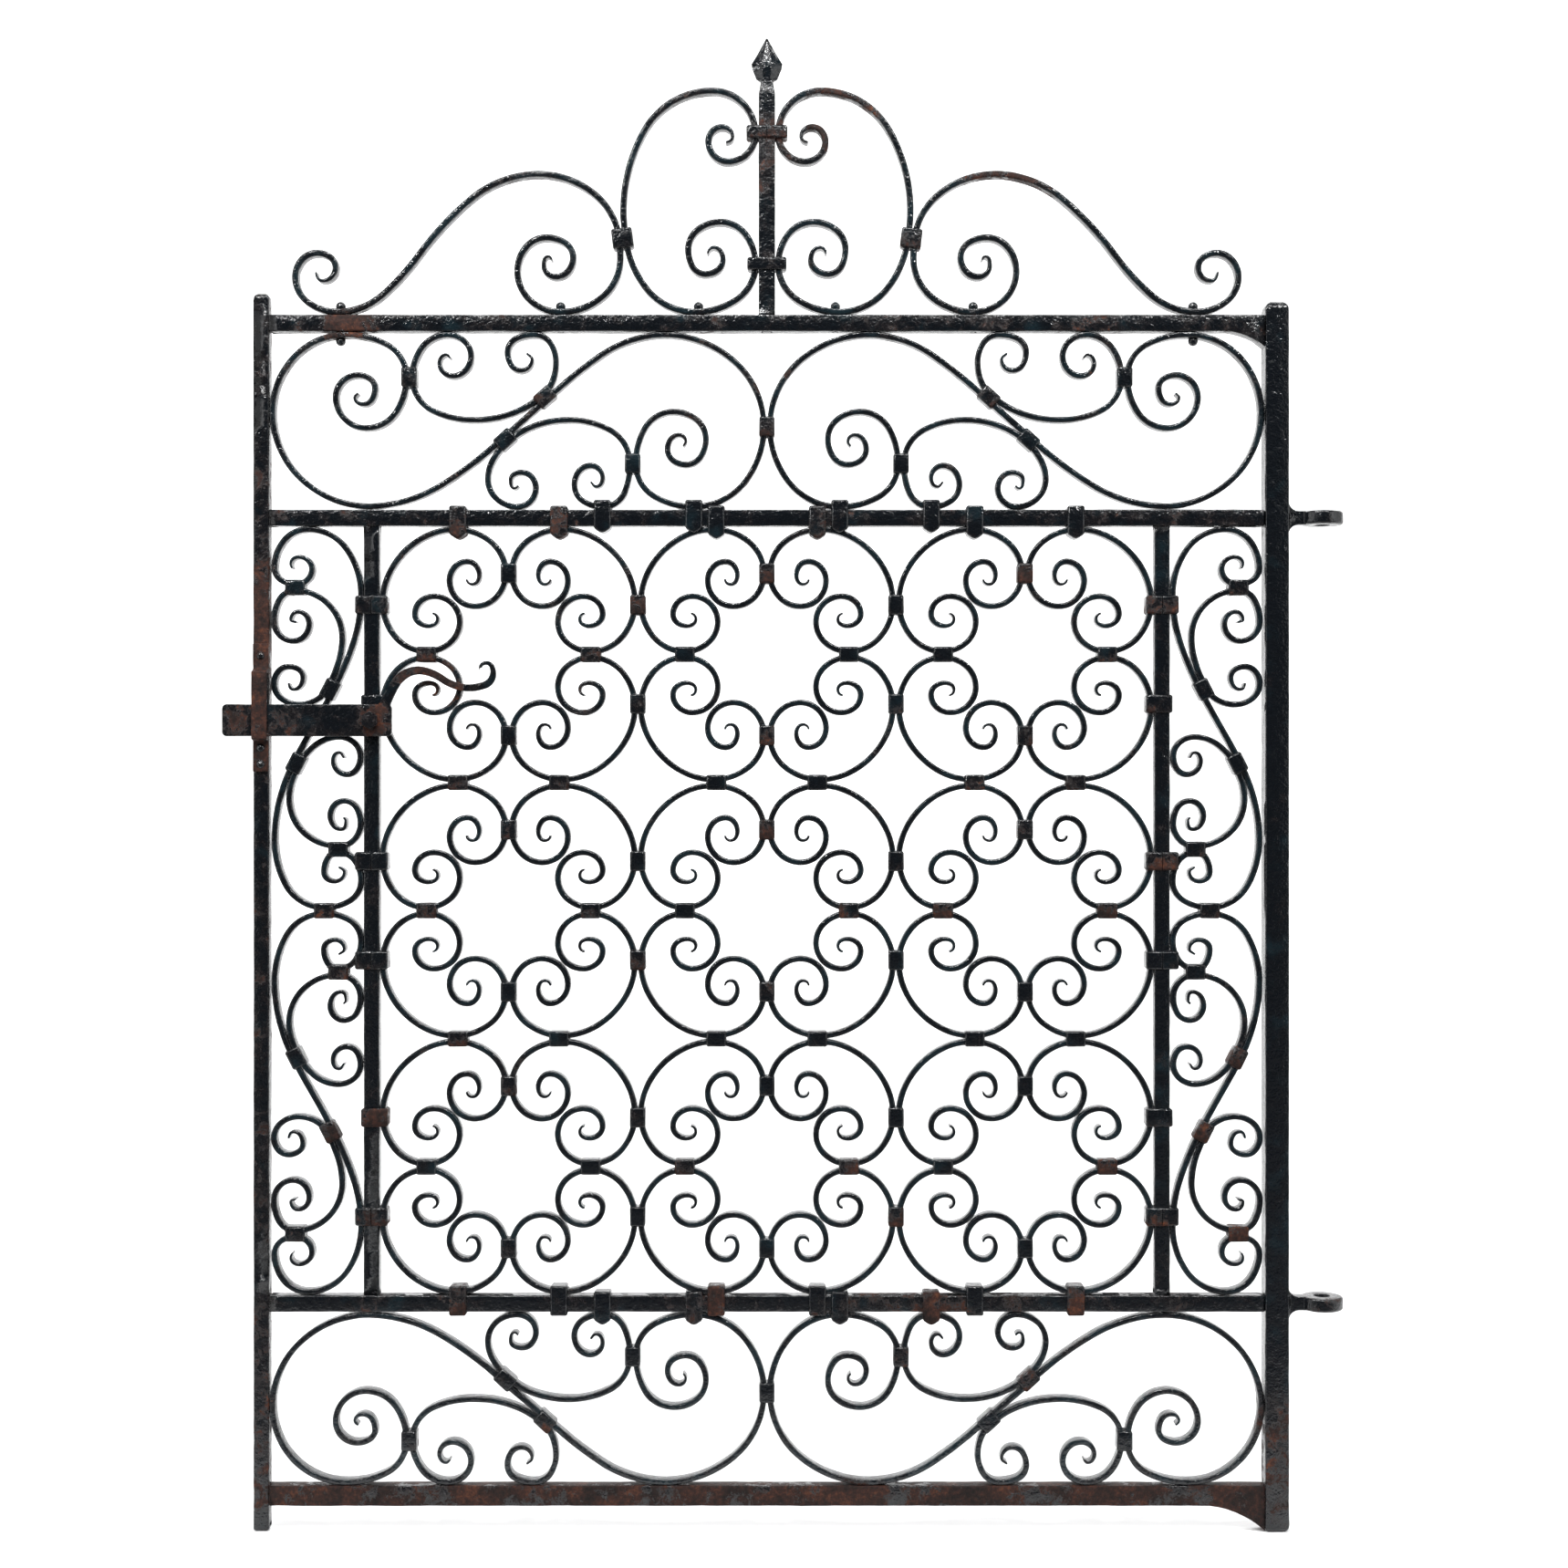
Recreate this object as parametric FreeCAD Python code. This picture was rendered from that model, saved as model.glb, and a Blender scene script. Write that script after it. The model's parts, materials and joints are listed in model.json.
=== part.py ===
import FreeCAD, Part
import math
import os

# Hand-forged garden gate: a riveted frame of square bars filled with scrolls of flat bar,
# every crossing held by a wrapped collar, a scrolled crest with a spear, a lift latch on the
# left and two ring eyes on the right that drop over the post's pintles.
#
# Frame of the part, in millimetres: X runs from the latch side to the hinge side, Z is up and
# the front face looks along -Y.  The origin is the middle of the lower hinge eye's bore.

V = FreeCAD.Vector
UPWARDS = V(0, 0, 1)
BACKWARDS = V(0, 1, 0)

# ---------------------------------------------------------------- driving dimensions

EYE_TO_STILE = 51.0            # hinge pin line to the middle of the hinge stile
HINGE_SPACING = 859.0          # lower eye to upper eye, also lower to upper middle rail
CLEAR_WIDTH = 1088.5           # between the two stiles

HINGE_STILE = 26.0             # square bar of the hinge stile
LATCH_STILE = 17.0             # square bar of the latch stile
MUNTIN = 17.0                  # square bar of the two inner uprights
MUNTIN_INSET = 112.0           # stile face to the middle of the muntin
RAIL_HEIGHT = 18.0
RAIL_DEPTH = 19.0
BOTTOM_RAIL_HEIGHT = 22.0

TOP_RAIL_Z = 1072.0            # middle heights of the rails
UPPER_RAIL_Z = HINGE_SPACING
LOWER_RAIL_Z = 0.0
BOTTOM_RAIL_Z = -210.0
FOOT_Z = -249.0                # underside of both stiles
LATCH_STILE_TOP = 1105.0
HINGE_STILE_TOP = 1096.0

TENON = 10.0                   # square tenons of rails and muntins
HINGE_TENON = 10.0             # how far a rail's tenon enters the hinge stile

SCROLL_BAR = 6.5               # thickness of the scroll bar, seen from the front
SCROLL_DEPTH = 16.0            # its width, front to back
CREST_BAR = 7.0
TIP_THICKNESS = 2.2            # scroll ends are drawn out to this
TIP_LENGTH = 48.0              # over this length
SEAM = 0.1                     # hairline between two bars side by side
CELLS = 3                      # lattice cells across and down

SPEAR_BAR = 18.0
SPEAR_SHAFT_END = 242.0        # heights above the top rail: the square bar ends,
SPEAR_NECK = 256.0             # is drawn in to its narrowest,
SPEAR_SHOULDER = 259.0         # steps out below the head,
SPEAR_SWELL = 270.0            # swells,
SPEAR_WIDEST = 276.0
SPEAR_TAPER = 284.0
SPEAR_TIP = 304.0
SPEAR_SHOULDER_SIZE = (11.5, 7.0)   # half width, half depth of the head at those heights
SPEAR_SWELL_SIZE = (16.0, 8.0)
SPEAR_WIDEST_SIZE = (17.0, 8.0)
SPEAR_TAPER_SIZE = (12.0, 6.5)
SPEAR_POINT = 0.9
SPEAR_FACET = 0.3              # share of the half width that the head's flat faces take

COLLAR_WALL = 2.3              # metal of a collar in front of and behind the bars
COLLAR_CHAMFER = 1.6
COLLAR_SHOULDER = 2.0          # height at which a pointed collar starts to narrow
COLLAR_NIB = 2.0               # half width of its blunt point
COLLAR_SLIT = 0.9              # butt seam in the front of the wide collars
SCROLL_COLLAR = (17.0, 22.0)   # width across the bars, length along them
MUNTIN_COLLAR = 20.0
RAIL_COLLAR = (19.0, 4.2)      # width along the rail, metal above and below
COLLAR_POINT = 3.0             # how far a pointed collar's lower end reaches down
SPEAR_COLLAR_WIDTH = (45.0, 43.0)   # the upper one and the lower one
SPEAR_COLLAR_HEIGHT = 14.0
SPEAR_COLLARS = (200.0, 56.0)  # heights above the top rail
MUNTIN_COLLAR_METAL = 2.9      # metal to each side of the bars
CREST_COLLAR_METAL = 4.5
TOP_KNEE = (40.0, 17.0)        # width, drop of the web under the top rail at the hinge stile
BOTTOM_KNEE = (60.0, 27.0)
KNEE_HOLLOW = 0.4              # share of both by which the middle of its edge stands off
PANEL_FEET = (364.5, 464.5)    # rail collars of the top and bottom panels, from the stile's face

EYE_OUTER = 46.0
EYE_BORE = 17.0
EYE_HEIGHT = 15.0
EYE_FLARE = 38.0               # height of the forged neck where it meets the stile
EYE_NECK = 18.0                # depth of the neck, front to back
EYE_OVERLAP = 5.0              # how far the neck runs into the ring
EYE_CHAMFER = 2.0
EYE_TANG = (12.0, 13.0)        # square size, length into the stile

LATCH_BAR = (185.0, 35.0, 6.0) # length, height, thickness
LATCH_NOSE = 41.0              # from the stile's middle to the end of the bar
LATCH_Z = 637.5                # middle height of the bar
LATCH_BACK = 11.3              # plane of the bar's back, in front of the gate's middle plane
LATCH_GAP = 0.3                # free play to each side of the bar
BOLT_SHANK = 8.0
BOLT_HEAD = (17.0, 6.0)        # across flats, height
BOLT_CHAMFER = 1.6
BOLT_CROWN = 1.14              # crown of the head's corners, against its flats
BOLT_TAIL = 3.0                # thread left beyond the nut
BOLT_FIT = 0.05                # radial clearance in the latch bar
BAR_CORNER = 5.0               # radius at the latch bar's corners
HANDLE_THICK = (12.0, 8.0, 3.0)  # where it leaves the bar, middle, tip
HANDLE_SHOULDER = 0.45         # shares of its length where the middle thickness starts
HANDLE_TAPER = 0.8             # and where it ends
WASHER_OUTER = 16.0
NUT = (13.0, 6.5)              # across flats, height
KEEPER_METAL = 3.0
KEEPER_WIDTH = 17.0
KEEPER_FREE = 0.6              # from the latch bar's front to the strap
KEEPER_TOP = 84.0              # heights above and below the latch bar's middle
KEEPER_BRIDGE = 53.0
KEEPER_FLOOR = -17.8
KEEPER_FOOT = -56.0
KEEPER_RISE = 3.0              # how much higher the strap bends outside than inside, at the top
KEEPER_DROP = 2.0              # and lower, at the bottom
KEEPER_RIVETS = (71.0, -30.0, -48.0)
KEEPER_RIVET_HEAD = (9.0, 2.6)   # width, height
RIVET = 5.0                    # shank
CREST_RIVET_HEAD = (9.0, 8.5)    # width of its seat, height of the ball
STILE_DOME = 0.36              # rounding of a stile's top and foot, as shares of its size
STILE_FOOT = 0.22

# ---------------------------------------------------------------- worked out from them

HINGE_STILE_X = -EYE_TO_STILE
RIGHT_FACE = HINGE_STILE_X - HINGE_STILE / 2          # inner face of the hinge stile
LEFT_FACE = RIGHT_FACE - CLEAR_WIDTH                  # inner face of the latch stile
LATCH_STILE_X = LEFT_FACE - LATCH_STILE / 2
MIDDLE_X = (LEFT_FACE + RIGHT_FACE) / 2
HALF_WIDTH = CLEAR_WIDTH / 2
LEFT_MUNTIN_X = LEFT_FACE + MUNTIN_INSET
RIGHT_MUNTIN_X = RIGHT_FACE - MUNTIN_INSET
SIDE_WIDTH = MUNTIN_INSET - MUNTIN / 2                # clear width of a side panel

TOP_PANEL_TOP = TOP_RAIL_Z - RAIL_HEIGHT / 2
TOP_PANEL_HEIGHT = TOP_RAIL_Z - UPPER_RAIL_Z - RAIL_HEIGHT
MIDDLE_TOP = UPPER_RAIL_Z - RAIL_HEIGHT / 2           # top of lattice and side panels
MIDDLE_HEIGHT = UPPER_RAIL_Z - LOWER_RAIL_Z - RAIL_HEIGHT
BOTTOM_PANEL_FLOOR = BOTTOM_RAIL_Z + BOTTOM_RAIL_HEIGHT / 2
BOTTOM_PANEL_HEIGHT = LOWER_RAIL_Z - RAIL_HEIGHT / 2 - BOTTOM_PANEL_FLOOR
CREST_FLOOR = TOP_RAIL_Z + RAIL_HEIGHT / 2
CELL_WIDTH = (CLEAR_WIDTH - 2 * MUNTIN_INSET - MUNTIN) / CELLS
CELL_HEIGHT = MIDDLE_HEIGHT / CELLS
LATTICE_LEFT = LEFT_MUNTIN_X + MUNTIN / 2
MIDDLE_Z = MIDDLE_TOP - MIDDLE_HEIGHT / 2
CELL_MIDDLE = (LATTICE_LEFT + CELL_WIDTH / 2, MIDDLE_TOP - CELL_HEIGHT / 2)   # first cell
GRID = [(row, column) for row in range(CELLS) for column in range(CELLS)]
PIVOT_X = LEFT_MUNTIN_X

BESIDE = (SCROLL_BAR + SEAM) / 2                      # bar's centre line from a seam
CREST_BESIDE = (CREST_BAR + SEAM) / 2

# ---------------------------------------------------------------- scroll shapes
#
# A scroll is a list of stations (across, up, heading).  At each one the bar's centre line
# passes that point in that direction, mostly where it runs level or plumb, and the bar
# bends smoothly from one station to the next.

EAST = 0
NORTH = 90
WEST = 180
SOUTH = 270
NORTH_EAST = 45
NORTH_WEST = 135
SOUTH_WEST = 225


def beside(spot, heading, side, offset=BESIDE):
    """Station of a bar that passes a collar, to the left (+1) or right (-1) of its middle."""
    across = math.radians(heading + 90 * side)
    return (spot[0] + offset * math.cos(across), spot[1] + offset * math.sin(across), heading)


# Top panel, left half: measured from the latch stile's face and the top rail's underside.
TOP_MEET = (HALF_WIDTH, -104.0)                       # collars of this half
TOP_OUTER = (153.0, -50.0)
TOP_UPPER = (301.5, -71.5)
TOP_LOWER = (258.0, -118.5)
TOP_INNER = (397.5, -144.5)
DIAGONAL = 42.0                                       # slope of the long bar's middle

TOP_LONG = [
    (97.5, -67.5, SOUTH_WEST), (93.5, -72.5, SOUTH), (102.5, -79.5, EAST), (115.5, -62, NORTH),
    (96.5, -47.5, WEST), (72.5, -72, SOUTH), (106, -105.5, EAST),
    beside(TOP_OUTER, NORTH, 1), (83.5, -BESIDE, WEST), (BESIDE, -88, SOUTH), (109.5, -191, EAST),
    beside(TOP_LOWER, DIAGONAL, 1), beside(TOP_UPPER, DIAGONAL, -1),
    (431.5, -BESIDE, EAST), beside(TOP_MEET, SOUTH, -1), (464.5, -191.5, WEST),
    beside(TOP_INNER, NORTH, -1), (442.5, -87.5, EAST), (477.5, -117.5, SOUTH),
    (455.5, -145.5, WEST), (435.5, -128.5, NORTH), (448, -113, EAST), (455.5, -120, SOUTH),
    (452.5, -125.5, SOUTH_WEST)]

TOP_UPPER_SCROLL = [
    (198, -29, NORTH_WEST), (193.5, -25.5, WEST), (186, -34.5, SOUTH), (200.5, -48.5, EAST),
    (220.5, -27, NORTH), (195, -BESIDE, WEST), beside(TOP_OUTER, SOUTH, 1),
    (224.5, -96.5, EAST), beside(TOP_UPPER, DIAGONAL, 1), (313.5, -34, NORTH),
    (290, -BESIDE, WEST), (260.5, -23, SOUTH), (275.5, -42.5, EAST), (287.5, -30.5, NORTH),
    (281.5, -24, NORTH_WEST)]

TOP_LOWER_SCROLL = [
    (272.5, -168.5, SOUTH_WEST), (268.5, -171.5, WEST), (264, -162.5, NORTH), (276, -154, EAST),
    (291.5, -171.5, SOUTH), (271, -191.5, WEST), (239, -161.5, NORTH),
    beside(TOP_LOWER, DIAGONAL, -1), (327.5, -96.5, EAST), beside(TOP_INNER, SOUTH, -1),
    (364.5, -191.5, WEST), (333.5, -167.5, NORTH), (351.5, -146.5, EAST), (364.5, -160, SOUTH),
    (357.5, -169.5, WEST), (351.5, -164.5, NORTH_WEST)]

# Side panel, upper left half: measured from the latch stile's face and the rail's underside.
SIDE_TOP = (28.5, -67.0)
SIDE_UPPER = (66.5, -178.5)
SIDE_LOWER = (29.5, -259.5)
SIDE_END = (75.5, -353.5)
SIDE_MEET = (60.0, -MIDDLE_HEIGHT / 2)
SLOPE = 243.0                                         # heading of the long bar's middle

SIDE_LONG = [
    (25.5, -46, NORTH_WEST), (23.5, -41, NORTH), (32.5, -33.5, EAST), (46.5, -47, SOUTH),
    beside(SIDE_TOP, WEST, -1), (5.5, -45, NORTH), (42, -BESIDE, EAST),
    (SIDE_WIDTH - BESIDE, -76, SOUTH), beside(SIDE_UPPER, SLOPE, 1),
    beside(SIDE_LOWER, SLOPE, -1), (5.5, -342, SOUTH), beside(SIDE_MEET, EAST, 1),
    (SIDE_WIDTH - BESIDE, -387.5, NORTH), beside(SIDE_END, WEST, 1), (59.5, -378, SOUTH),
    (71.5, -388.5, EAST), (82, -378.5, NORTH), (76, -372.5, NORTH_WEST)]

SIDE_STILE_SCROLL = [
    (29.5, -105.5, NORTH_WEST), (23.5, -102, NORTH), (31.5, -93.5, EAST), (43.5, -107, SOUTH),
    (26, -125.5, WEST), (5, -104, NORTH), beside(SIDE_TOP, EAST, -1), (79.5, -122, SOUTH),
    beside(SIDE_UPPER, SLOPE, -1), (32, -195, WEST), (5, -172, NORTH), (21, -153.5, EAST),
    (36.5, -165.5, SOUTH), (26.5, -178.5, WEST), (21.5, -171.5, NORTH)]

SIDE_MUNTIN_SCROLL = [
    (82, -253.5, NORTH_WEST), (76.5, -247.5, WEST), (69.5, -256.5, SOUTH), (84.5, -271.5, EAST),
    (99.5, -252, NORTH), (76, -230.5, WEST), beside(SIDE_LOWER, SLOPE, 1), (21.5, -298, SOUTH),
    beside(SIDE_END, EAST, 1), (99.5, -325.5, NORTH), (81.5, -300.5, WEST), (66.5, -317, SOUTH),
    (78.5, -331.5, EAST), (83.5, -322, NORTH), (81, -318.5, NORTH_WEST)]

# Crest, right half: measured from the spear's centre line and the top rail's upper face.
CREST_MEET = (158.0, 84.0)
LEAN = 263.0                                          # heading of the bars in that collar
SPEAR_SIDE = SPEAR_BAR / 2 + CREST_BESIDE
CREST_RIVETS = (75.0, 226.0, 467.0)                   # across, where bars lie on the rail

CREST_OUTER_SCROLL = [
    (493, 47, SOUTH), (486, 37.5, WEST), (472, 52, NORTH), (492, 68, EAST), (516, 42, SOUTH),
    (469, CREST_BESIDE, WEST), (380, 67, 128), (251, 154.5, WEST),
    beside(CREST_MEET, LEAN, 1, CREST_BESIDE), (160.5, 62, SOUTH), (226, CREST_BESIDE, EAST),
    (273, 48, NORTH), (241, 85, WEST), (212, 63, SOUTH), (231, 42, EAST), (244, 54, NORTH),
    (239, 64, WEST), (235.5, 60, SOUTH)]

CREST_INNER_SCROLL = [
    (45, 189, WEST), (37.5, 195.5, NORTH), (49, 206, EAST), (64, 190, SOUTH), (42, 168, WEST),
    (SPEAR_SIDE, 199, NORTH), (59, 245.5, EAST), (157, 112, SOUTH),
    beside(CREST_MEET, LEAN, -1, CREST_BESIDE), (79, CREST_BESIDE, WEST), (SPEAR_SIDE, 56, NORTH),
    (51, 102, EAST), (86, 72, SOUTH), (67, 45, WEST), (48, 61, NORTH), (58, 74, EAST),
    (64.5, 67, SOUTH)]


# Latch handle: measured from the pivot.
HANDLE = [(15, 14, 70), (53, 54.5, EAST), (104, 35.5, EAST), (134, 52, NORTH),
          (126.5, 62.5, WEST), (120, 57, SOUTH)]


def lattice_half(reach):
    """Half of a lattice scroll, from its bow near the cell's corner to its tip."""
    return [(27.5, -27.5, NORTH_EAST), (83, -BESIDE, EAST), (reach - BESIDE, -51.5, SOUTH),
            (104.5, -87.5, WEST), (76.5, -59.5, NORTH), (96, -38.5, EAST), (109, -53.5, SOUTH),
            (101.5, -63.5, WEST), (95.5, -58, NORTH)]


def lattice_scroll():
    """A C-scroll that is the same on both sides of the diagonal through the cell's corner."""
    across = lattice_half(CELL_WIDTH / 2)
    down = [(-v, -u, 90 - heading) for u, v, heading in lattice_half(CELL_HEIGHT / 2)]
    return down[:0:-1] + across


LATTICE_COLLAR = 51.5                                 # along a cell's middle, from its edge
LATTICE_EDGE_COLLAR = 86.0                            # along a cell's edge, from its corner

# ---------------------------------------------------------------- basic shapes


def box(x0, x1, y0, y1, z0, z1):
    return Part.makeBox(x1 - x0, y1 - y0, z1 - z0, V(x0, y0, z0))


def cylinder(radius, length, start, direction):
    return Part.makeCylinder(radius, length, start, direction)


def plate(edges, y0, y1):
    """Extrude a closed outline, drawn on the plane y = 0, from y0 to y1."""
    face = Part.Face(Part.Wire(Part.__sortEdges__(edges)))
    face.translate(V(0, y0, 0))
    return face.extrude(V(0, y1 - y0, 0))


def polygon(points):
    """Straight edges round a closed outline of (x, z) points."""
    corners = [V(x, 0, z) for x, z in points]
    return [Part.makeLine(a, b) for a, b in zip(corners, corners[1:] + corners[:1])]


def domed(solid, height, radius):
    """Round the edges at the end of an upright bar that lie at this height."""
    ends = [edge for edge in solid.Edges if all(abs(v.Z - height) < 0.01 for v in edge.Vertexes)]
    return solid.makeFillet(radius, ends)


def hexagon(across_flats, height, start):
    """Hexagonal prism that grows from start towards +Y."""
    corner = across_flats / math.sqrt(3)
    turns = [math.radians(60 * step + 30) for step in range(6)]
    outline = polygon([(start.x + corner * math.cos(t), start.z + corner * math.sin(t)) for t in turns])
    return plate(outline, start.y, start.y + height)


def ball_head(radius, height, base, direction):
    """Round head on a flat seat, a low dome or most of a ball."""
    sphere_radius = (radius * radius + height * height) / (2 * height)
    centre = base - direction * (sphere_radius - height)
    ball = Part.makeSphere(sphere_radius, centre)
    keep = cylinder(sphere_radius + 1, height + 1, base, direction)
    return ball.common(keep)


# ---------------------------------------------------------------- scrolls


def smooth_handles(start, end):
    """Bezier handle lengths that make the roundest curve between two stations."""
    chord = math.hypot(end[0] - start[0], end[1] - start[1])
    slope = math.atan2(end[1] - start[1], end[0] - start[0])
    leave = math.remainder(math.radians(start[2]) - slope, math.tau)
    arrive = math.remainder(slope - math.radians(end[2]), math.tau)

    def length(a, b):
        top = 2 + math.sqrt(2) * (math.sin(a) - math.sin(b) / 16) \
            * (math.sin(b) - math.sin(a) / 16) * (math.cos(a) - math.cos(b))
        bottom = 1 + 0.5 * (math.sqrt(5) - 1) * math.cos(a) + 0.5 * (3 - math.sqrt(5)) * math.cos(b)
        return chord * top / (3 * bottom)

    return length(leave, -arrive), length(-arrive, leave)


def centre_line(stations, steps=4):
    """Points and unit normals along the smooth line through the stations."""
    line = []
    for start, end in zip(stations, stations[1:]):
        out, back = smooth_handles(start, end)
        a = V(start[0], 0, start[1])
        d = V(end[0], 0, end[1])
        b = a + V(math.cos(math.radians(start[2])), 0, math.sin(math.radians(start[2]))) * out
        c = d - V(math.cos(math.radians(end[2])), 0, math.sin(math.radians(end[2]))) * back
        first = 0 if not line else 1
        for step in range(first, steps + 1):
            t = step / steps
            s = 1 - t
            point = a * s ** 3 + b * (3 * s * s * t) + c * (3 * s * t * t) + d * t ** 3
            along = (b - a) * (s * s) + (c - b) * (2 * s * t) + (d - c) * (t * t)
            along.normalize()
            line.append((point, V(-along.z, 0, along.x)))
    return line


def arcs_through(points):
    """Arcs that each pass three points in turn, or a straight line where those lie in line."""
    edges = []
    for a, b, c in zip(points[::2], points[1::2], points[2::2]):
        if b.distanceToLine(a, c - a) < 0.002:
            edges.append(Part.makeLine(a, c))
        else:
            edges.append(Part.Arc(a, b, c).toShape())
    return edges


def drawn_out(distance, full, tip=TIP_THICKNESS, length=TIP_LENGTH):
    """Thickness of a bar at this distance from a tip that is drawn out thin."""
    share = min(1.0, distance / length)
    return tip + (full - tip) * math.sin(share * math.pi / 2)


def bar_along(stations, thickness, y0, y1, thickness_at=None):
    """Flat bar bent along the stations, with its width from y0 to y1."""
    line = centre_line(stations)
    travelled = [0.0]
    for (p, _), (q, _) in zip(line, line[1:]):
        travelled.append(travelled[-1] + p.distanceToPoint(q))
    total = travelled[-1]
    left = []
    right = []
    for (point, normal), s in zip(line, travelled):
        if thickness_at:
            half = thickness_at(s / total) / 2
        else:
            half = drawn_out(min(s, total - s), thickness) / 2
        left.append(point + normal * half)
        right.append(point - normal * half)
    sides = arcs_through(left) + arcs_through(right)
    ends = [Part.makeLine(left[0], right[0]), Part.makeLine(left[-1], right[-1])]
    return plate(sides + ends, y0, y1)


def placed(stations, x, z, right=1, up=1, stretch=1.0):
    """Stations moved to (x, z), mirrored where right or up is -1, and stretched upwards."""
    moved = []
    for across, height, heading in stations:
        turned = heading if right > 0 else 180 - heading
        turned = turned if up > 0 else -turned
        moved.append((x + right * across, z + up * height * stretch, turned))
    return moved


def scroll(stations, thickness=SCROLL_BAR):
    return bar_along(stations, thickness, -SCROLL_DEPTH / 2, SCROLL_DEPTH / 2)


# ---------------------------------------------------------------- collars


def collar_block(across, depth, along, slit=False):
    """Chamfered block round the origin, for bars that run upright; the slit is its butt seam."""
    block = box(-across / 2, across / 2, -depth / 2, depth / 2, -along / 2, along / 2)
    block = block.makeChamfer(COLLAR_CHAMFER, block.Edges)
    if slit:
        cut = box(-COLLAR_SLIT / 2, COLLAR_SLIT / 2, -depth, -depth / 2 + COLLAR_WALL * 0.8,
                  -along, along)
        block = block.cut(cut)
    return block


def pointed_block(across, depth, along):
    """Collar block whose lower end is drawn down to a blunt point."""
    half = across / 2
    end = along / 2
    shoulder = COLLAR_SHOULDER - end
    low = -end - COLLAR_POINT
    outline = polygon([(-half, end), (half, end), (half, shoulder), (COLLAR_NIB, low),
                       (-COLLAR_NIB, low), (-half, shoulder)])
    block = plate(outline, -depth / 2, depth / 2)
    return block.makeChamfer(COLLAR_CHAMFER, block.Edges)


def collar(block, x, z, heading, bars):
    """The block turned to the bars' heading at (x, z), with the bars' own shape cut out."""
    turned = block.copy()
    turned.rotate(V(0, 0, 0), V(0, 1, 0), 90 - heading)
    turned.translate(V(x, 0, z))
    held = [bar for bar in bars if bar.BoundBox.intersect(turned.BoundBox)]
    return turned.cut(held) if held else turned


# ---------------------------------------------------------------- frame


def left_knee(x, z, width, height):
    """Outline of a small web in the corner below a rail's right end; its edge is hollow."""
    corner = V(x, 0, z)
    toe = V(x, 0, z - height)
    tip = V(x - width, 0, z)
    middle = V(x - width * KNEE_HOLLOW, 0, z - height * KNEE_HOLLOW)
    return [Part.Arc(tip, middle, toe).toShape(), Part.makeLine(toe, corner),
            Part.makeLine(corner, tip)]


def square_tenon(x0, x1, z):
    return box(x0, x1, -TENON / 2, TENON / 2, z - TENON / 2, z + TENON / 2)


def upright_tenon(x, z0, z1):
    return box(x - TENON / 2, x + TENON / 2, -TENON / 2, TENON / 2, z0, z1)


def make_rail(z, height, knee=None):
    """Rail with a tenon through the latch stile and one into the hinge stile."""
    rail = box(LEFT_FACE, RIGHT_FACE, -RAIL_DEPTH / 2, RAIL_DEPTH / 2,
               z - height / 2, z + height / 2)
    if knee:
        width, drop = knee
        web = plate(left_knee(RIGHT_FACE, z - height / 2, width, drop),
                    -RAIL_DEPTH / 2, RAIL_DEPTH / 2)
        rail = rail.fuse(web).removeSplitter()
    through = square_tenon(LEFT_FACE - LATCH_STILE, LEFT_FACE, z)
    stub = square_tenon(RIGHT_FACE, RIGHT_FACE + HINGE_TENON, z)
    return rail.fuse([through, stub])


def make_muntin(x):
    """Inner upright with a tenon through each middle rail."""
    bar = box(x - MUNTIN / 2, x + MUNTIN / 2, -MUNTIN / 2, MUNTIN / 2,
              LOWER_RAIL_Z + RAIL_HEIGHT / 2, MIDDLE_TOP)
    top = upright_tenon(x, MIDDLE_TOP, MIDDLE_TOP + RAIL_HEIGHT)
    bottom = upright_tenon(x, LOWER_RAIL_Z - RAIL_HEIGHT / 2, LOWER_RAIL_Z + RAIL_HEIGHT / 2)
    return bar.fuse([top, bottom])


def make_stile(x, size, top):
    """Square bar with a domed top and a rounded foot."""
    bar = box(x - size / 2, x + size / 2, -size / 2, size / 2, FOOT_Z, top)
    bar = domed(bar, top, size * STILE_DOME)
    return domed(bar, FOOT_Z, size * STILE_FOOT)


def spear_section(height, wide, deep, square=False):
    """Closed outline across the spear at this height: a square bar or a six-sided blade."""
    if square:
        outline = [(-wide, deep * 0.2), (-wide, -deep), (wide, -deep),
                   (wide, deep * 0.2), (wide, deep), (-wide, deep)]
    else:
        flat = wide * SPEAR_FACET
        outline = [(-wide, 0), (-flat, -deep), (flat, -deep), (wide, 0), (flat, deep), (-flat, deep)]
    corners = [V(MIDDLE_X + across, front, CREST_FLOOR + height) for across, front in outline]
    return Part.makePolygon(corners + corners[:1])


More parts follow.
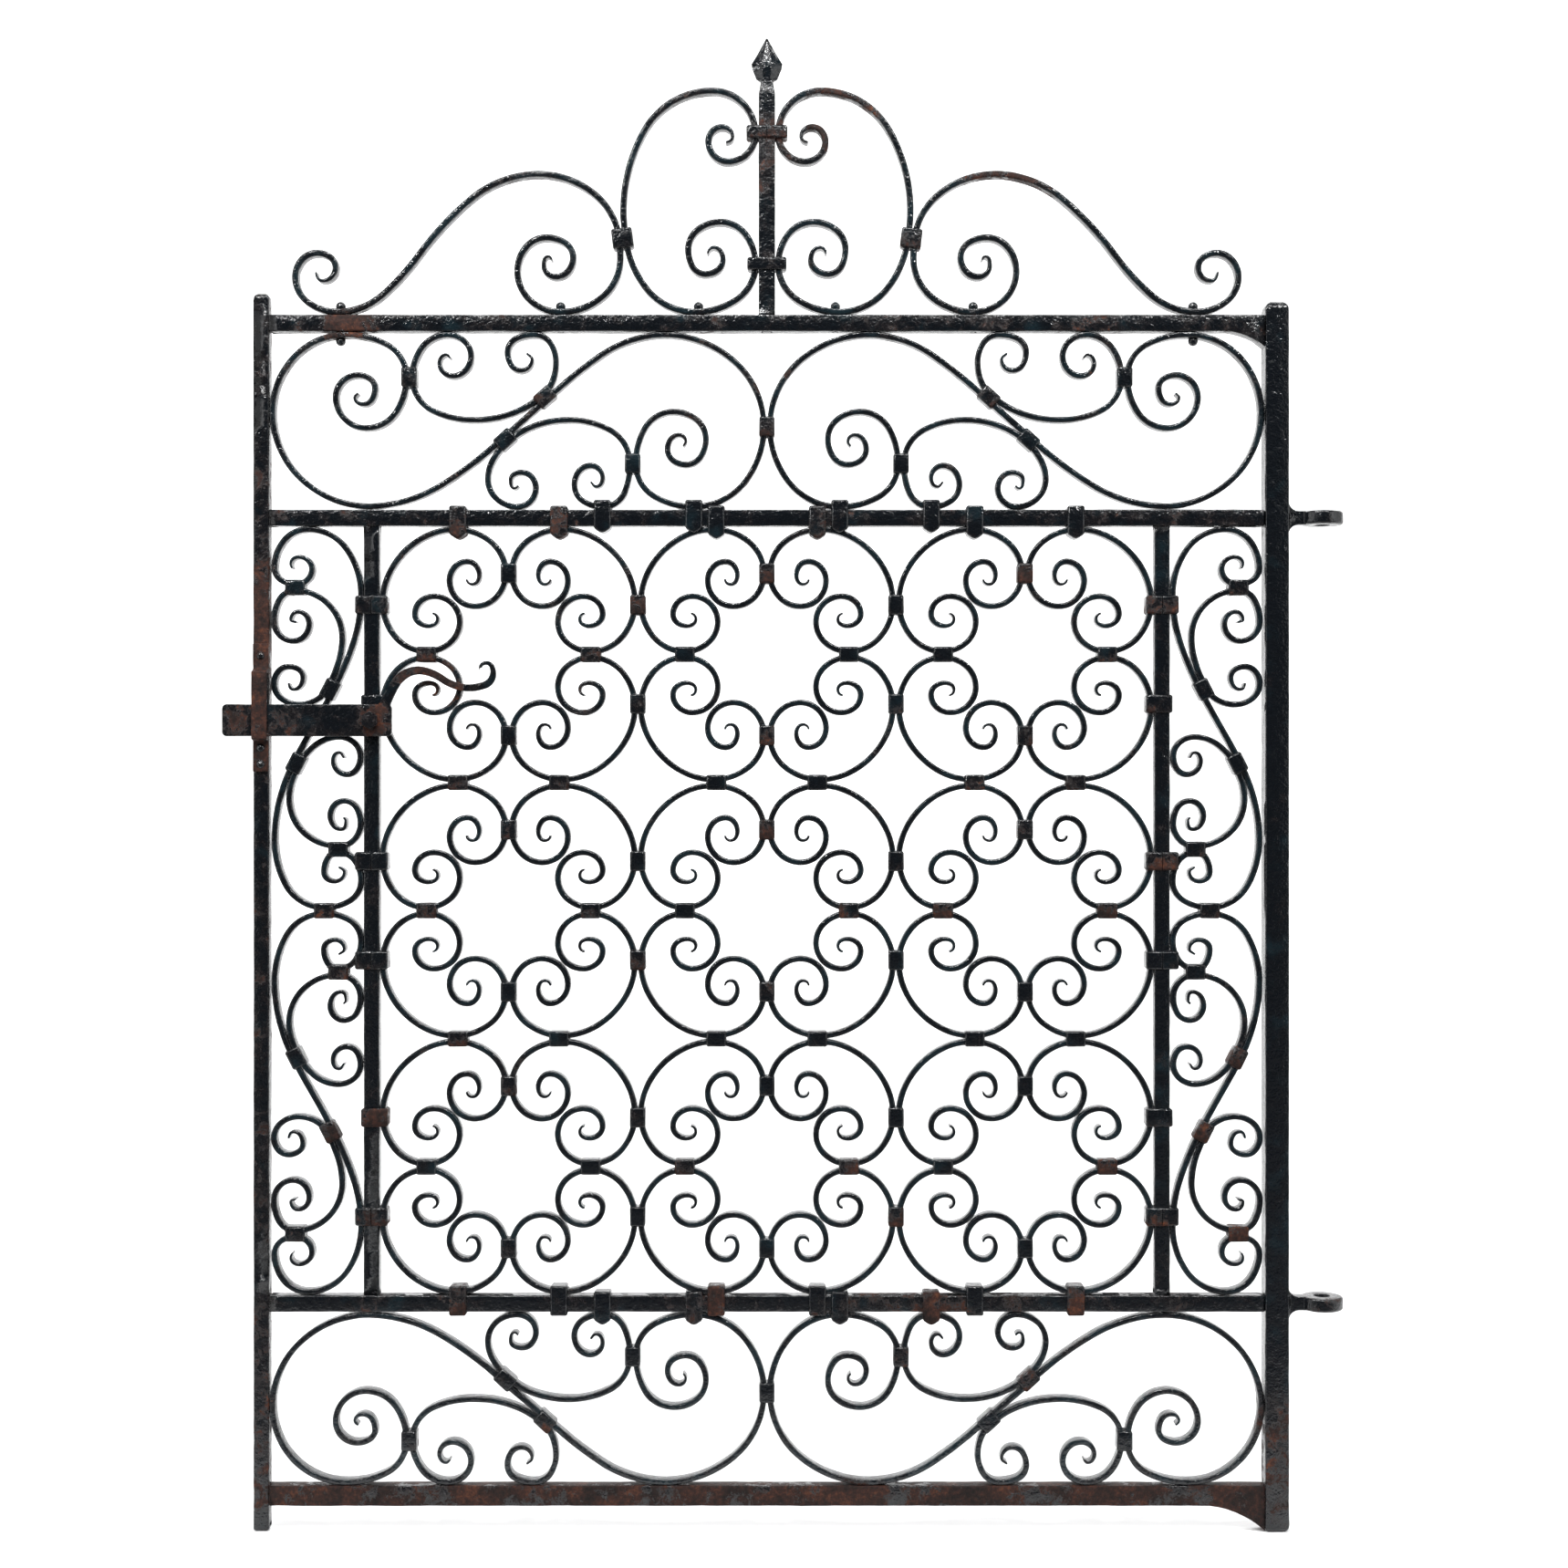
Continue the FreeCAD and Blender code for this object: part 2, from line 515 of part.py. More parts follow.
def make_spear():
    """Spear on a square bar that is tenoned through the top rail."""
    half = SPEAR_BAR / 2
    drawn_in = half * 0.72
    shaft = box(MIDDLE_X - half, MIDDLE_X + half, -half, half,
                CREST_FLOOR, CREST_FLOOR + SPEAR_SHAFT_END)
    shaft_end = spear_section(SPEAR_SHAFT_END, half, half, square=True)
    neck_end = spear_section(SPEAR_NECK, drawn_in, drawn_in, square=True)
    shoulder = spear_section(SPEAR_SHOULDER, *SPEAR_SHOULDER_SIZE)
    blade = [shoulder, spear_section(SPEAR_SWELL, *SPEAR_SWELL_SIZE),
             spear_section(SPEAR_WIDEST, *SPEAR_WIDEST_SIZE),
             spear_section(SPEAR_TAPER, *SPEAR_TAPER_SIZE),
             spear_section(SPEAR_TIP, SPEAR_POINT, SPEAR_POINT)]
    neck = Part.makeLoft([shaft_end, neck_end], True, True)
    join = Part.makeLoft([neck_end, shoulder], True, True)
    head = Part.makeLoft(blade, True, True)
    tenon = upright_tenon(MIDDLE_X, CREST_FLOOR - RAIL_HEIGHT, CREST_FLOOR)
    return shaft.fuse([neck, join, head, tenon])


def make_eye(z):
    """Ring eye with a flared neck and a square tang into the hinge stile."""
    face = HINGE_STILE_X + HINGE_STILE / 2
    half = EYE_HEIGHT / 2
    flare = EYE_FLARE / 2
    sweep = flare - half                               # radius of the hollow under the flare
    bend = sweep * (1 - math.sqrt(0.5))
    neck_start = face + sweep
    neck_end = EYE_OVERLAP - EYE_OUTER / 2
    outline = []
    for up in (1, -1):
        wall = V(face, 0, z + up * flare)
        turn = V(face + bend, 0, z + up * (half + bend))
        level = V(neck_start, 0, z + up * half)
        outline += [Part.Arc(wall, turn, level).toShape(),
                    Part.makeLine(level, V(neck_end, 0, z + up * half))]
    outline += [Part.makeLine(V(neck_end, 0, z + half), V(neck_end, 0, z - half)),
                Part.makeLine(V(face, 0, z - flare), V(face, 0, z + flare))]
    neck = plate(outline, -EYE_NECK / 2, EYE_NECK / 2)
    ring = cylinder(EYE_OUTER / 2, EYE_HEIGHT, V(0, 0, z - half), UPWARDS)
    size, length = EYE_TANG
    tang = box(face - length, face, -size / 2, size / 2, z - size / 2, z + size / 2)
    eye = ring.fuse([neck, tang]).removeSplitter()
    rims = [edge for edge in eye.Edges if isinstance(edge.Curve, Part.Circle)
            and abs(edge.Curve.Radius - EYE_OUTER / 2) < 0.01]
    eye = eye.makeChamfer(EYE_CHAMFER, rims)
    return eye.cut(cylinder(EYE_BORE / 2, EYE_HEIGHT + 2, V(0, 0, z - half - 1), UPWARDS))


# ---------------------------------------------------------------- latch


def handle_thickness(share):
    """Thickness of the handle at this share of its length from the bar."""
    start, middle, tip = HANDLE_THICK
    if share < HANDLE_SHOULDER:
        return start + (middle - start) * share / HANDLE_SHOULDER
    if share < HANDLE_TAPER:
        return middle
    return middle + (tip - middle) * (share - HANDLE_TAPER) / (1 - HANDLE_TAPER)


def make_latch_bar():
    """Flat lift bar, its handle drawn out of the upper corner behind the pivot."""
    length, height, thick = LATCH_BAR
    nose = LATCH_STILE_X - LATCH_NOSE
    front = -LATCH_BACK - thick
    bar = box(nose, nose + length, front, -LATCH_BACK, LATCH_Z - height / 2, LATCH_Z + height / 2)
    corners = [edge for edge in bar.Edges if abs(edge.Length - thick) < 0.01]
    bar = bar.makeFillet(BAR_CORNER, corners)
    stations = placed(HANDLE, PIVOT_X, LATCH_Z)
    handle = bar_along(stations, HANDLE_THICK[0], front, -LATCH_BACK, handle_thickness)
    hole = cylinder(BOLT_SHANK / 2 + BOLT_FIT, thick + 2, V(PIVOT_X, front - 1, LATCH_Z), BACKWARDS)
    return bar.fuse(handle).removeSplitter().cut(hole)


def make_pivot_bolt():
    """Hexagon bolt through the latch bar and the muntin."""
    flats, height = BOLT_HEAD
    front = -LATCH_BACK - LATCH_BAR[2] - LATCH_GAP
    end = MUNTIN / 2 + NUT[1] + BOLT_TAIL
    outside = V(PIVOT_X, front - height, LATCH_Z)
    head = hexagon(flats, height, outside)
    crown = cylinder(flats / 2 * BOLT_CROWN, height, outside, BACKWARDS)
    head = head.common(crown.makeChamfer(BOLT_CHAMFER, crown.Edges[0]))
    shank = cylinder(BOLT_SHANK / 2, end - front, V(PIVOT_X, front, LATCH_Z), BACKWARDS)
    return head.fuse(shank)


def make_pivot_washer():
    """Spacer that carries the latch bar clear of the stile."""
    thick = LATCH_BACK - LATCH_GAP - MUNTIN / 2
    start = V(PIVOT_X, -MUNTIN / 2 - thick, LATCH_Z)
    ring = cylinder(WASHER_OUTER / 2, thick, start, BACKWARDS)
    return ring.cut(cylinder(BOLT_SHANK / 2, thick, start, BACKWARDS))


def make_pivot_nut():
    """Nut behind the muntin."""
    flats, height = NUT
    start = V(PIVOT_X, MUNTIN / 2, LATCH_Z)
    return hexagon(flats, height, start).cut(cylinder(BOLT_SHANK / 2, height, start, BACKWARDS))


def make_keeper():
    """Strap on the latch stile that stands off over the latch bar."""
    back = -LATCH_STILE / 2
    inner = -LATCH_BACK - LATCH_BAR[2] - KEEPER_FREE
    metal = KEEPER_METAL
    side = [(back, KEEPER_TOP), (back - metal, KEEPER_TOP),
            (back - metal, KEEPER_BRIDGE + KEEPER_RISE),
            (inner - metal, KEEPER_BRIDGE), (inner - metal, KEEPER_FLOOR - metal),
            (back - metal, KEEPER_FLOOR - metal - KEEPER_DROP), (back - metal, KEEPER_FOOT),
            (back, KEEPER_FOOT), (back, KEEPER_FLOOR), (inner, KEEPER_FLOOR),
            (inner, KEEPER_BRIDGE - metal), (back, KEEPER_BRIDGE)]
    corners = [V(0, y, LATCH_Z + z) for y, z in side]
    face = Part.Face(Part.makePolygon(corners + corners[:1]))
    face.translate(V(LATCH_STILE_X - KEEPER_WIDTH / 2, 0, 0))
    return face.extrude(V(KEEPER_WIDTH, 0, 0))


def make_keeper_rivets():
    """Rivets through the strap and the stile, with low round heads in front."""
    across, height_of_head = KEEPER_RIVET_HEAD
    rivets = []
    for height in KEEPER_RIVETS:
        front = -LATCH_STILE / 2 - KEEPER_METAL
        middle = V(LATCH_STILE_X, front, LATCH_Z + height)
        shank = cylinder(RIVET / 2, LATCH_STILE + KEEPER_METAL, middle, BACKWARDS)
        rivets.append(shank.fuse(ball_head(across / 2, height_of_head, middle, -BACKWARDS)))
    return rivets


# ---------------------------------------------------------------- crest rivets


def make_crest_rivets():
    """Upright rivets that hold the crest on the top rail, ball heads uppermost.  The outermost
    also hold the top panel's long scrolls and have a ball head below as well."""
    width, height = CREST_RIVET_HEAD
    rivets = []
    for across in CREST_RIVETS:
        for side in (-1, 1):
            x = MIDDLE_X + side * across
            top = CREST_FLOOR + CREST_BAR + SEAM
            through = across == max(CREST_RIVETS)
            bottom = TOP_PANEL_TOP - (SCROLL_BAR + SEAM if through else 0)
            shank = cylinder(RIVET / 2, top - bottom, V(x, 0, bottom), UPWARDS)
            heads = [ball_head(width / 2, height, V(x, 0, top), UPWARDS)]
            if through:
                heads.append(ball_head(width / 2, height, V(x, 0, bottom), -UPWARDS))
            rivets.append(shank.fuse(heads))
    return rivets


# ---------------------------------------------------------------- assembly


def across_gate(solids):
    """The same solids on the other side of the gate's upright centre line."""
    return [solid.mirror(V(MIDDLE_X, 0, 0), V(1, 0, 0)) for solid in solids]


def upside_down(solids):
    """The same solids mirrored about the middle height of the lattice."""
    return [solid.mirror(V(0, 0, MIDDLE_Z), V(0, 0, 1)) for solid in solids]


def copies(solids, row, column):
    """The first cell's solids in the cell of this row and column."""
    return [solid.translated(V(column * CELL_WIDTH, 0, -row * CELL_HEIGHT)) for solid in solids]


def cut_all(solid, tools):
    """Cut only the tools that reach the solid."""
    near = [tool for tool in tools if tool.BoundBox.intersect(solid.BoundBox)]
    return solid.cut(near) if near else solid


def lattice_cells():
    """Four mirrored scrolls in each cell, by the name of the cell."""
    x, z = CELL_MIDDLE
    first = [scroll(placed(lattice_scroll(), x - right * CELL_WIDTH / 2, z + up * CELL_HEIGHT / 2,
                           right, up)) for right in (1, -1) for up in (1, -1)]
    return {f"lattice_scrolls_row_{row + 1}_column_{column + 1}": copies(first, row, column)
            for row, column in GRID}


def flat_panel_scrolls(panel, up, z, stretch, rivets=()):
    """The six scrolls of the top or the bottom panel, by name, drilled for the rivets."""
    scrolls = {}
    for kind, stations in (("long", TOP_LONG), ("outer", TOP_UPPER_SCROLL),
                           ("inner", TOP_LOWER_SCROLL)):
        bar = [cut_all(scroll(placed(stations, LEFT_FACE, z, 1, up, stretch)), rivets)]
        scrolls[f"{panel}_panel_{kind}_scroll_left"] = bar
        scrolls[f"{panel}_panel_{kind}_scroll_right"] = across_gate(bar)
    return scrolls


def side_panel_scrolls():
    """The six scrolls of each side panel, by name."""
    scrolls = {}
    for kind, stations in (("long", SIDE_LONG), ("stile", SIDE_STILE_SCROLL),
                           ("muntin", SIDE_MUNTIN_SCROLL)):
        upper = [scroll(placed(stations, LEFT_FACE, MIDDLE_TOP))]
        for half, bar in (("upper", upper), ("lower", upside_down(upper))):
            scrolls[f"left_side_{half}_{kind}_scroll"] = bar
            scrolls[f"right_side_{half}_{kind}_scroll"] = across_gate(bar)
    return scrolls


def crest_scrolls(rivets):
    """The four scrolls on top of the gate, drilled for their rivets."""
    scrolls = {}
    for kind, stations in (("outer", CREST_OUTER_SCROLL), ("inner", CREST_INNER_SCROLL)):
        bar = scroll(placed(stations, MIDDLE_X, CREST_FLOOR), CREST_BAR)
        right = [cut_all(bar, rivets)]
        scrolls[f"crest_{kind}_scroll_right"] = right
        scrolls[f"crest_{kind}_scroll_left"] = across_gate(right)
    return scrolls


def make_lattice_collars(bars):
    """Collars inside the cells, and between one cell and the next."""
    across, along = SCROLL_COLLAR
    block = collar_block(across, SCROLL_DEPTH + 2 * COLLAR_WALL, along)
    x, z = CELL_MIDDLE
    inner = [(x, z + side * (CELL_HEIGHT / 2 - LATTICE_COLLAR), NORTH) for side in (1, -1)]
    inner += [(x + side * (CELL_WIDTH / 2 - LATTICE_COLLAR), z, EAST) for side in (1, -1)]
    below = [(x + side * (CELL_WIDTH / 2 - LATTICE_EDGE_COLLAR), z - CELL_HEIGHT / 2, EAST)
             for side in (1, -1)]
    beyond = [(x + CELL_WIDTH / 2, z + side * (CELL_HEIGHT / 2 - LATTICE_EDGE_COLLAR), NORTH)
              for side in (1, -1)]
    made = [[collar(block, *spot, bars) for spot in spots] for spots in (inner, below, beyond)]
    collars = []
    for row, column in GRID:
        collars += copies(made[0], row, column)
        if row < CELLS - 1:
            collars += copies(made[1], row, column)
        if column < CELLS - 1:
            collars += copies(made[2], row, column)
    return collars


def make_panel_collars(bars, crest):
    """Collars of the top, bottom and side panels and the two on the crest's flanks."""
    across, along = SCROLL_COLLAR
    depth = SCROLL_DEPTH + 2 * COLLAR_WALL
    block = collar_block(across, depth, along)
    flat = [(*TOP_OUTER, NORTH), (*TOP_INNER, NORTH), (*TOP_UPPER, DIAGONAL),
            (*TOP_LOWER, DIAGONAL)]
    side = [(*SIDE_TOP, EAST), (*SIDE_END, EAST), (*SIDE_UPPER, SLOPE), (*SIDE_LOWER, SLOPE)]
    squeeze = BOTTOM_PANEL_HEIGHT / TOP_PANEL_HEIGHT
    collars = []
    for up, z, stretch in ((1, TOP_PANEL_TOP, 1.0), (-1, BOTTOM_PANEL_FLOOR, squeeze)):
        spots = placed(flat, LEFT_FACE, z, 1, up, stretch)
        left = [collar(block, *spot, bars) for spot in spots]
        middle = placed([(*TOP_MEET, NORTH)], LEFT_FACE, z, 1, up, stretch)[0]
        collars += left + across_gate(left) + [collar(block, *middle, bars)]
    upper = [collar(block, *spot, bars) for spot in placed(side, LEFT_FACE, MIDDLE_TOP)]
    meet = [collar(block, *placed([(*SIDE_MEET, EAST)], LEFT_FACE, MIDDLE_TOP)[0], bars)]
    left = upper + upside_down(upper) + meet
    collars += left + across_gate(left)
    wide = collar_block(2 * (CREST_BAR + CREST_COLLAR_METAL), depth, along)
    right = [collar(wide, *placed([(*CREST_MEET, LEAN)], MIDDLE_X, CREST_FLOOR)[0], crest)]
    return collars + right + across_gate(right)


def make_rail_collars(bars, rails):
    """Collars that hold a scroll to a middle rail, from above or from below."""
    across, metal = RAIL_COLLAR
    tall = RAIL_HEIGHT + SCROLL_BAR + SEAM + 2 * metal
    depth = RAIL_DEPTH + 2 * COLLAR_WALL
    pointed = pointed_block(across, depth, tall)
    plain = collar_block(across, depth, tall)
    shift = (SCROLL_BAR + SEAM) / 2
    held = bars + rails
    collars = []
    for rail_z, below, block in ((UPPER_RAIL_Z, -1, pointed), (LOWER_RAIL_Z, 1, plain)):
        for column in range(CELLS):
            corner = LATTICE_LEFT + column * CELL_WIDTH
            for x in (corner + LATTICE_EDGE_COLLAR, corner + CELL_WIDTH - LATTICE_EDGE_COLLAR):
                collars.append(collar(block, x, rail_z + below * shift, NORTH, held))
        left = [collar(pointed, LEFT_FACE + spot, rail_z - below * shift, NORTH, held)
                for spot in PANEL_FEET]
        collars += left + across_gate(left)
    return collars


def make_muntin_collars(bars, muntins):
    """Collars round a muntin with the lattice on one side and a side scroll on the other."""
    depth = MUNTIN + 2 * COLLAR_WALL
    pair = SCROLL_BAR + SEAM
    wide = collar_block(MUNTIN + 2 * pair + 2 * MUNTIN_COLLAR_METAL, depth, MUNTIN_COLLAR, slit=True)
    plain = collar_block(MUNTIN + pair + 2 * MUNTIN_COLLAR_METAL, depth, MUNTIN_COLLAR)
    near = LATTICE_EDGE_COLLAR
    far = CELL_HEIGHT - LATTICE_EDGE_COLLAR
    held = bars + muntins
    upper = [collar(wide, LEFT_MUNTIN_X, MIDDLE_TOP - near, NORTH, held),
             collar(plain, LEFT_MUNTIN_X + pair / 2, MIDDLE_TOP - far, NORTH, held),
             collar(wide, LEFT_MUNTIN_X, MIDDLE_TOP - CELL_HEIGHT - near, NORTH, held)]
    left = upper + upside_down(upper)
    return left + across_gate(left)


def make_spear_collars(bars):
    """Two heavy bands that tie the inner crest scrolls to the spear's bar."""
    depth = SPEAR_BAR + 2 * COLLAR_WALL
    seamed = collar_block(SPEAR_COLLAR_WIDTH[0], depth, SPEAR_COLLAR_HEIGHT, slit=True)
    plain = collar_block(SPEAR_COLLAR_WIDTH[1], depth, SPEAR_COLLAR_HEIGHT)
    upper, lower = SPEAR_COLLARS
    return [collar(seamed, MIDDLE_X, CREST_FLOOR + upper, NORTH, bars),
            collar(plain, MIDDLE_X, CREST_FLOOR + lower, NORTH, bars)]


def flat_list(groups):
    return [solid for solids in groups.values() for solid in solids]


def build():
    """Every node of the gate: its name and its list of separate solids."""
    lattice = lattice_cells()
    crest_rivets = make_crest_rivets()
    panels = flat_panel_scrolls("top", 1, TOP_PANEL_TOP, 1.0, crest_rivets)
    panels.update(flat_panel_scrolls("bottom", -1, BOTTOM_PANEL_FLOOR,
                                     BOTTOM_PANEL_HEIGHT / TOP_PANEL_HEIGHT))
    panels.update(side_panel_scrolls())
    crest = crest_scrolls(crest_rivets)
    keeper_rivets = make_keeper_rivets()
    bolt = make_pivot_bolt()
    spear = make_spear()

    left_muntin = make_muntin(LEFT_MUNTIN_X)
    right_muntin = make_muntin(RIGHT_MUNTIN_X)
    into_rails = [left_muntin, right_muntin, spear] + crest_rivets
    rails = {
        "top_rail": make_rail(TOP_RAIL_Z, RAIL_HEIGHT, TOP_KNEE),
        "upper_mid_rail": make_rail(UPPER_RAIL_Z, RAIL_HEIGHT),
        "lower_mid_rail": make_rail(LOWER_RAIL_Z, RAIL_HEIGHT),
        "bottom_rail": make_rail(BOTTOM_RAIL_Z, BOTTOM_RAIL_HEIGHT, BOTTOM_KNEE),
    }
    rails = {name: cut_all(rail, into_rails) for name, rail in rails.items()}
    eyes = {"upper_hinge_eye": make_eye(HINGE_SPACING), "lower_hinge_eye": make_eye(0.0)}
    into_stiles = list(rails.values()) + list(eyes.values()) + keeper_rivets

    frame = {
        "latch_stile": make_stile(LATCH_STILE_X, LATCH_STILE, LATCH_STILE_TOP),
        "hinge_stile": make_stile(HINGE_STILE_X, HINGE_STILE, HINGE_STILE_TOP),
    }
    frame = {name: cut_all(stile, into_stiles) for name, stile in frame.items()}
    frame.update(rails)
    frame["left_muntin"] = left_muntin.cut(bolt)
    frame["right_muntin"] = right_muntin
    frame["spear_upright"] = spear
    frame.update(eyes)
    frame["latch_bar"] = make_latch_bar()
    frame["latch_pivot_bolt"] = bolt
    frame["latch_pivot_washer"] = make_pivot_washer()
    frame["latch_pivot_nut"] = make_pivot_nut()
    frame["latch_keeper"] = cut_all(make_keeper(), keeper_rivets)

    nodes = {name: [shape] for name, shape in frame.items()}
    nodes["keeper_rivets"] = keeper_rivets
    nodes["crest_rivets"] = crest_rivets
    nodes.update(lattice)
    nodes.update(panels)
    nodes.update(crest)
    bars = flat_list(lattice) + flat_list(panels)
    nodes["lattice_collars"] = make_lattice_collars(flat_list(lattice))
    nodes["panel_collars"] = make_panel_collars(flat_list(panels), flat_list(crest))
    nodes["rail_collars"] = make_rail_collars(bars, list(rails.values()))
    nodes["muntin_collars"] = make_muntin_collars(bars, [left_muntin, right_muntin])
    nodes["spear_collars"] = make_spear_collars(flat_list(crest) + [spear])
    return nodes


def main():
    os.makedirs("parts", exist_ok=True)
    for name, solids in build().items():
        shape = solids[0] if len(solids) == 1 else Part.makeCompound(solids)
        shape.exportStep(f"parts/{name}.step")


main()
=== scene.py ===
import json
import math

import bmesh
import bpy
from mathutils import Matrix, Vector, noise
from mathutils.bvhtree import BVHTree


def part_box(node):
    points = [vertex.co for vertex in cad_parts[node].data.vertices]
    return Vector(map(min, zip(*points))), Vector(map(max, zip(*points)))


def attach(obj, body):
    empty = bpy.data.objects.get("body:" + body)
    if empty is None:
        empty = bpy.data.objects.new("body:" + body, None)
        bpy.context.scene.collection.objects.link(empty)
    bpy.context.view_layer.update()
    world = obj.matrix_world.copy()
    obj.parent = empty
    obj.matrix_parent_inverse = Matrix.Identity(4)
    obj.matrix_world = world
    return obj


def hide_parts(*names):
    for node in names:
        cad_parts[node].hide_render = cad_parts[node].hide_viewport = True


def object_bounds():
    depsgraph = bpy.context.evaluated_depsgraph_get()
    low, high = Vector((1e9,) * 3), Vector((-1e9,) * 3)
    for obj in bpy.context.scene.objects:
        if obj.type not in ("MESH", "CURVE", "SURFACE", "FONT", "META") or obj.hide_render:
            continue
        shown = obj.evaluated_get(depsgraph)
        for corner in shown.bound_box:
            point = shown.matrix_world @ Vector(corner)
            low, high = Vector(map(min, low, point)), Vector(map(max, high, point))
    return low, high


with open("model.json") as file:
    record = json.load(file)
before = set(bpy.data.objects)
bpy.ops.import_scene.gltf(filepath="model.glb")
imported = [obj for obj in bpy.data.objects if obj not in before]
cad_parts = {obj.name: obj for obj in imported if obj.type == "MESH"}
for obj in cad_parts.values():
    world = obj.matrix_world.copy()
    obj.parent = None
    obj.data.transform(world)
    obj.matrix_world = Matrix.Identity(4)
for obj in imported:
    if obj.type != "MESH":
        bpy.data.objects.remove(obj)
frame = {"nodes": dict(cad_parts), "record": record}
CAD_BOX = [list(corner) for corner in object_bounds()]
NODES = frame["nodes"]
SLOTS = {part["node"]: part["material_slot"] for part in frame["record"]["subparts"]}
BODY_OF = {node: body for body, names in frame["record"]["behaviour"]["bodies"].items()
           for node in names}
MM = 0.001
X, Y, Z = 0, 1, 2


# ---------------------------------------------------------------- shader expressions

class Level:
    """A grey value in a material.  Python's operators on it add Math nodes."""

    def __init__(self, paint, socket):
        self.paint = paint
        self.socket = socket

    def math(self, operation, first, second=0.0):
        node = self.paint.node("ShaderNodeMath", {"operation": operation}, {0: first, 1: second})
        return Level(self.paint, node.outputs[0])

    def __add__(self, other):
        return self.math("ADD", self, other)

    __radd__ = __add__

    def __sub__(self, other):
        return self.math("SUBTRACT", self, other)

    def __rsub__(self, other):
        return self.math("SUBTRACT", other, self)

    def __mul__(self, other):
        return self.math("MULTIPLY", self, other)

    __rmul__ = __mul__

    def step(self, low, high):
        """0 below low, 1 above high and smooth between them."""
        node = self.paint.node("ShaderNodeMapRange", {"interpolation_type": "SMOOTHSTEP"},
                               {"Value": self, "From Min": low, "From Max": high})
        return Level(self.paint, node.outputs["Result"])


class Paint:
    """A material under construction."""

    def __init__(self, name):
        self.material = bpy.data.materials.new(name)
        self.material.use_nodes = True
        self.tree = self.material.node_tree
        self.tree.nodes.clear()
        self.place = self.node("ShaderNodeTexCoord").outputs["Object"]

    def node(self, kind, settings=None, inputs=None):
        """A node with its settings made first and then its inputs' values or links."""
        node = self.tree.nodes.new(kind)
        for name, value in (settings or {}).items():
            if name == "stops":
                ramp = node.color_ramp
                while len(ramp.elements) < len(value):
                    ramp.elements.new(1.0)
                for element, (position, colour) in zip(ramp.elements, value):
                    element.position = position
                    element.color = (*colour, 1.0)
            else:
                setattr(node, name, value)
        for name, value in (inputs or {}).items():
            socket = node.inputs[name]
            if isinstance(value, Level):
                value = value.socket
            if isinstance(value, bpy.types.NodeSocket):
                self.tree.links.new(value, socket)
            else:
                socket.default_value = value
        return node

    def attribute(self, name):
        return Level(self, self.node("ShaderNodeAttribute", {"attribute_name": name}).outputs["Fac"])

    def noise(self, per_metre, detail=3.0, rough=0.5, warp=0.0):
        node = self.node("ShaderNodeTexNoise", {}, {
            "Vector": self.place, "Scale": per_metre, "Detail": detail,
            "Roughness": rough, "Distortion": warp})
        return Level(self, node.outputs["Fac"])

    def along(self, axis):
        """The object coordinate along X, Y or Z."""
        node = self.node("ShaderNodeSeparateXYZ", {}, {0: self.place})
        return Level(self, node.outputs[axis])

    def mix(self, share, first, second):
        """Colour that goes from first to second as share goes from 0 to 1."""
        first = (*first, 1.0) if isinstance(first, tuple) else first
        second = (*second, 1.0) if isinstance(second, tuple) else second
        node = self.node("ShaderNodeMix", {"data_type": "RGBA"},
                         {0: share, 6: first, 7: second})
        return node.outputs[2]

    def ramp(self, level, stops):
        return self.node("ShaderNodeValToRGB", {"stops": stops}, {0: level}).outputs["Color"]

    def relief(self, height):
        """Normal of a surface with this relief in metres."""
        bump = self.node("ShaderNodeBump", {}, {"Height": height, "Distance": 1.0,
                                                "Strength": 1.0})
        return bump.outputs["Normal"]

    def coat(self, colour, roughness, **inputs):
        """A surface of this colour and roughness."""
        values = {"Base Color": colour, "Roughness": roughness}
        values.update({name.replace("_", " "): value for name, value in inputs.items()})
        return self.node("ShaderNodeBsdfPrincipled", {}, values).outputs["BSDF"]

    def blend(self, share, first, second):
        """Surface that goes from first to second as share goes from 0 to 1."""
        return self.node("ShaderNodeMixShader", {}, {0: share, 1: first, 2: second}).outputs[0]

    def finish(self, surface):
        self.node("ShaderNodeOutputMaterial", {}, {"Surface": surface})
        return self.material


# ---------------------------------------------------------------- materials

PAINT_DEEP = (0.0030, 0.0040, 0.0055)
PAINT_TEAL = (0.006, 0.013, 0.017)
PAINT_THIN = (0.010, 0.006, 0.0055)
RUST_STOPS = ((0.24, (0.0035, 0.0025, 0.0025)), (0.42, (0.016, 0.0080, 0.0065)),
              (0.58, (0.038, 0.0145, 0.0100)), (0.80, (0.12, 0.040, 0.0180)))


